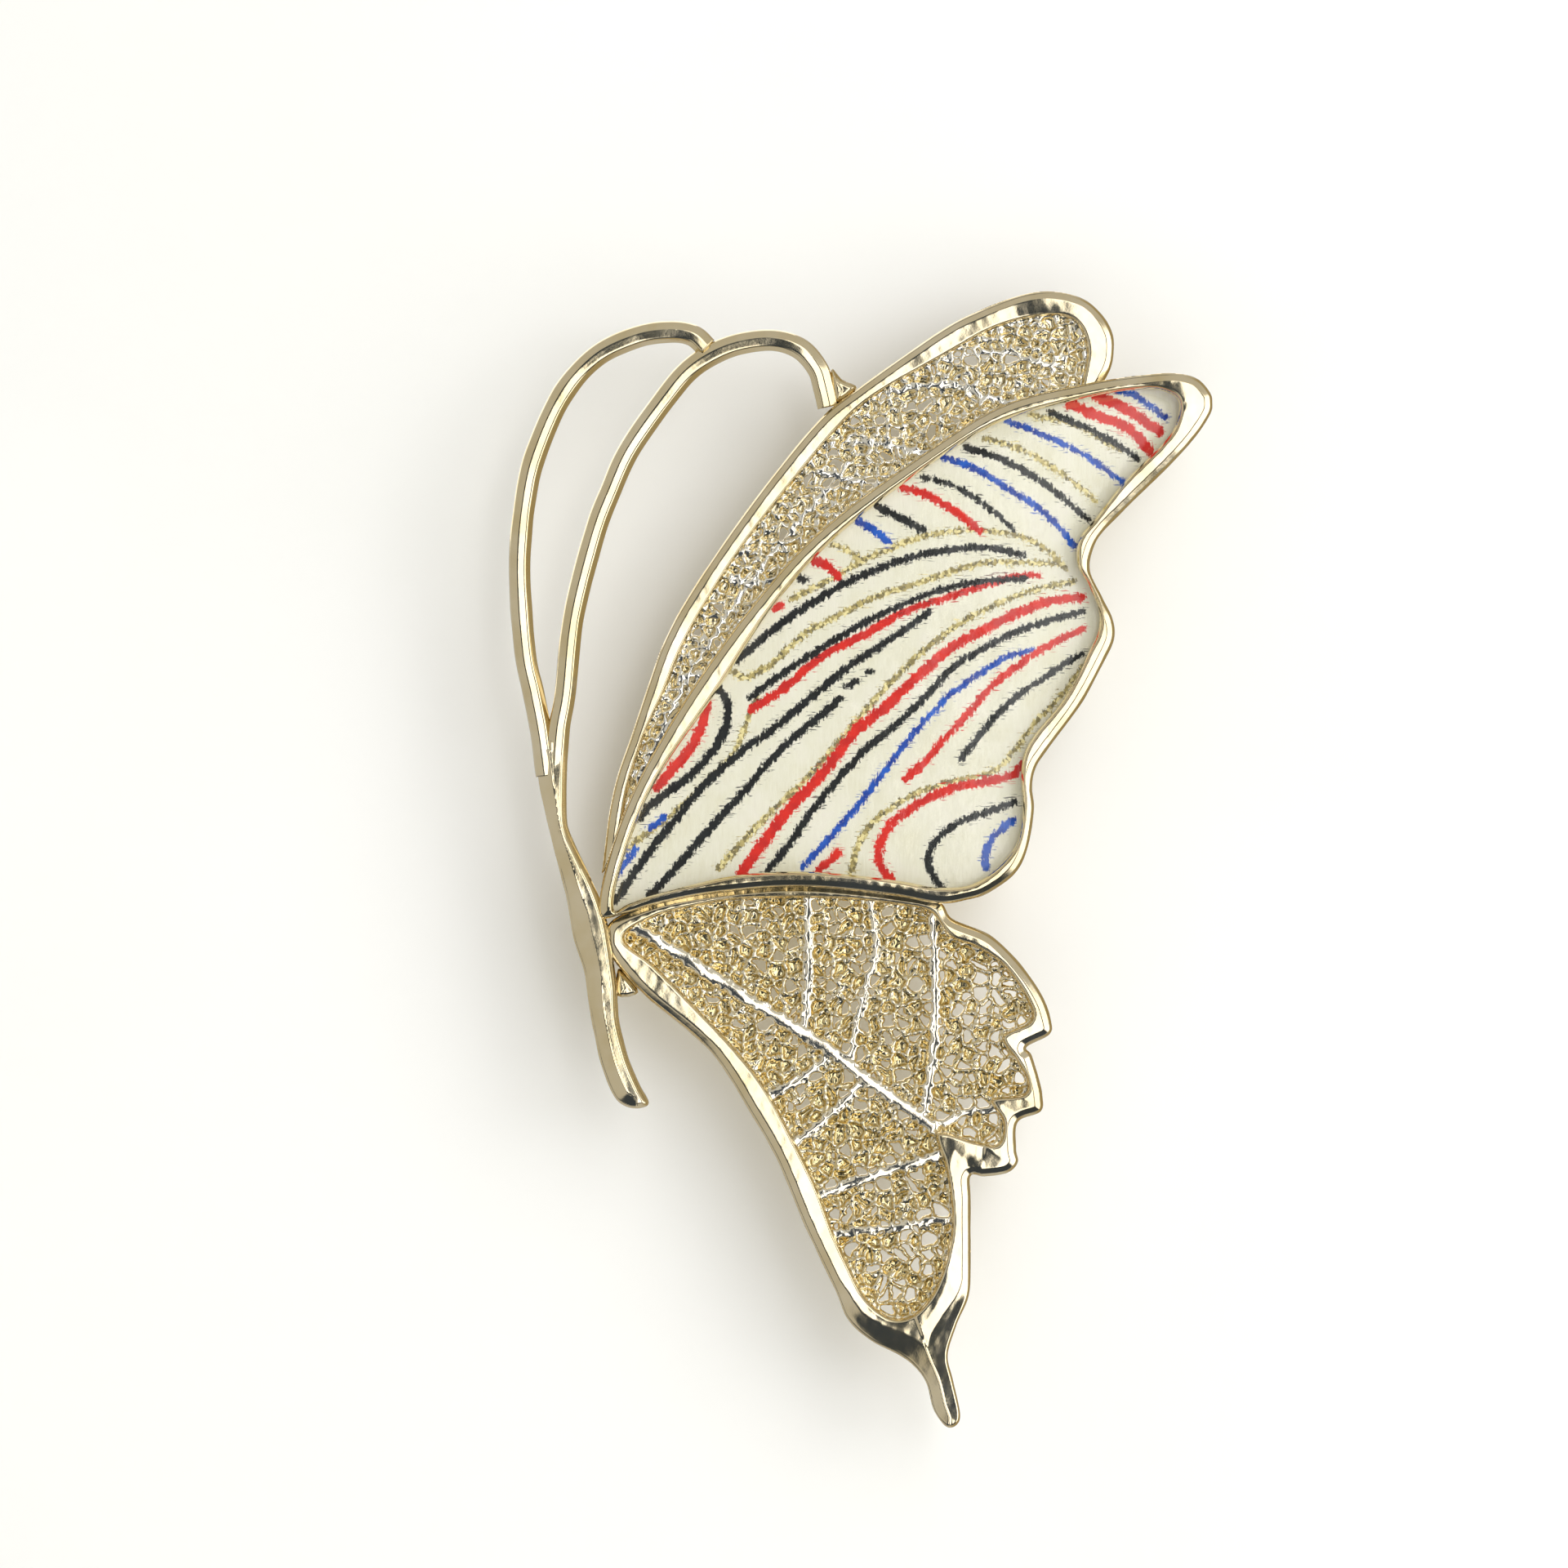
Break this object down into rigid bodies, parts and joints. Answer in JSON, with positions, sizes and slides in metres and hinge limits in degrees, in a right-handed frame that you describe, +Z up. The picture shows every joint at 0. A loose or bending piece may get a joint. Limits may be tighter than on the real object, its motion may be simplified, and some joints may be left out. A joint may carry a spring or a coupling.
{
  "type": "brooch",
  "caption": "Winged-insect brooch in profile: openwork gilt wings, one painted wing under a clear dome, wire antennae, and a hinged pin with a rolling safety catch on the back.",
  "frame": {"origin": "in the plane of the brooch's back, at the middle of the back bar, where the garment's cloth is held", "axes": "+Z up along the brooch as worn, from the tail to the top of the wings; +Y out of the back towards the wearer, so the face looks towards -Y; +X to the right seen from the front, along the pin from its hinge to its point"},
  "size_m": [0.0402, 0.0062, 0.065],
  "materials": {
    "gilt": "pale champagne gold plating over cast alloy, polished",
    "gilt_lace": "pale gold plating, bright on the cast strands and darker in the recesses",
    "painted_card": "cream fibrous card with hand-drawn lines in black, red, blue and gold",
    "clear_resin": "clear glossy cast resin",
    "pin_steel": "bright drawn steel"
  },
  "bodies": {
    "brooch": {"body_stem": "gilt", "antenna_outer": "gilt", "antenna_inner": "gilt", "antenna_web": "gilt", "rear_wing_rim": "gilt", "rear_wing_lace": "gilt_lace", "painted_wing_bezel": "gilt", "painted_wing_plate": "gilt", "painted_card": "painted_card", "clear_dome": "clear_resin", "hind_wing_rim": "gilt", "hind_wing_lace": "gilt_lace", "hind_wing_veins": "gilt_lace", "stem_web": "gilt", "back_bar": "gilt", "hinge_bracket": "gilt", "hinge_rivet": "pin_steel", "catch_base": "gilt"},
    "pin": {"pin_stem": "pin_steel"},
    "rotor": {"catch_rotor": "pin_steel"}
  },
  "joints": [
    {"name": "pin_hinge", "type": "hinge", "parent": "brooch", "child": "pin", "pos_m": [-0.0076, 0.0027, 0], "axis": [0, 0, 1], "range_deg": [0, 110]},
    {"name": "catch_turn", "type": "hinge", "parent": "brooch", "child": "rotor", "pos_m": [0.0086, 0.0027, 0], "axis": [-1, 0, 0], "range_deg": [0, 82]}
  ]
}
